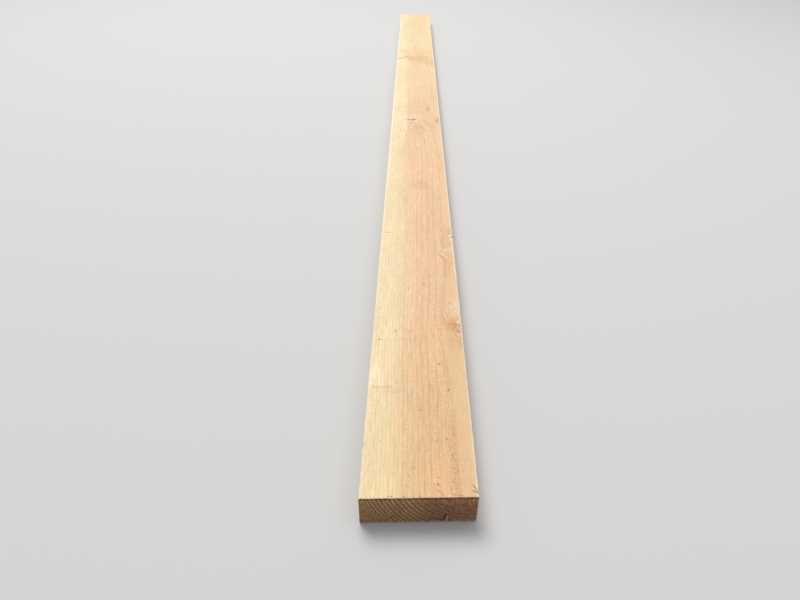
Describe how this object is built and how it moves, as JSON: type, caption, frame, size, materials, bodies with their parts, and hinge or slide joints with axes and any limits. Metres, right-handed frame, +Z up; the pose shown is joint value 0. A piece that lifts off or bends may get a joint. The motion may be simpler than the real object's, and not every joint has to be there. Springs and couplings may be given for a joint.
{
  "type": "sawn softwood plank",
  "caption": "Straight rough-sawn softwood plank of rectangular section, raw stock for building, with square sawn edges and plain crosscut ends.",
  "frame": {"origin": "middle of the underside, on the floor that the plank lies on", "axes": "+X across the width, +Y along the length, away from the end that has the drying check, +Z up through the thickness"},
  "size_m": [0.15, 3, 0.05],
  "materials": {
    "sawn_softwood": "rough sawn, unfinished"
  },
  "bodies": {
    "root": {"plank": "sawn_softwood"}
  },
  "joints": []
}
